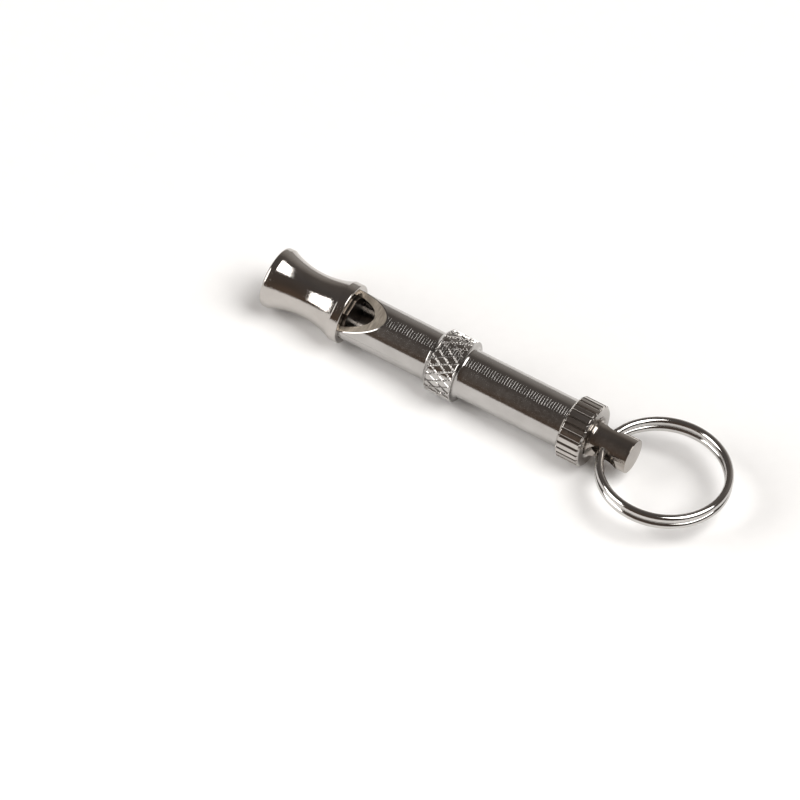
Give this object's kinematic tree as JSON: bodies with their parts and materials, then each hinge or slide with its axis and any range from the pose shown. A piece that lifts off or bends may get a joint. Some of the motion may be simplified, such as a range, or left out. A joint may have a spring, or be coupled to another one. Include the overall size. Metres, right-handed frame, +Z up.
{
  "type": "training whistle",
  "caption": "Slim metal training whistle with a flared mouthpiece, slanted sounding window, knurled grip band, sliding tuning screw with a fluted lock nut, and a split ring.",
  "frame": {"origin": "bottom centre of the bounding box, on the surface that the whistle lies on", "axes": "+X along the whistle's axis from the mouthpiece towards the split ring, +Z up; the sounding window leans 22 degrees from +Z towards -Y"},
  "size_m": [0.099, 0.0262, 0.0127],
  "materials": {
    "polished_nickel": "bright polished nickel plate",
    "turned_nickel": "bright nickel plate with fine lathe rings",
    "thread_nickel": "nickel plate, satin on the stem",
    "ring_steel": "polished plated spring wire",
    "inner_metal": "plain turned metal"
  },
  "bodies": {
    "barrel": {"barrel": "turned_nickel", "mouthpiece": "polished_nickel", "fipple_plug": "inner_metal"},
    "piston": {"piston": "inner_metal"},
    "tuning_screw": {"tuning_screw": "thread_nickel"},
    "lock_nut": {"lock_nut": "polished_nickel"},
    "split_ring": {"split_ring": "ring_steel"}
  },
  "joints": [
    {"name": "tuning_travel", "type": "slide", "parent": "barrel", "child": "piston", "axis": [1, 0, 0], "range_m": [0, 0.0125]},
    {"name": "tuning_turn", "type": "hinge", "parent": "piston", "child": "tuning_screw", "pos_m": [0, 0, 0.00634], "axis": [1, 0, 0], "range_deg": [0, 3600]},
    {"name": "lock_nut_turn", "type": "hinge", "parent": "tuning_screw", "child": "lock_nut", "pos_m": [0.01852, 0, 0.00634], "axis": [1, 0, 0], "range_deg": [-180, 180]},
    {"name": "ring_swing", "type": "hinge", "parent": "tuning_screw", "child": "split_ring", "pos_m": [0.02402, 0, 0.00634], "axis": [0, 1, 0], "range_deg": [-158, 158]}
  ],
  "couplings": [
    {"joint": "tuning_turn", "follows": "tuning_travel", "rad_per_m": 5026.5}
  ]
}
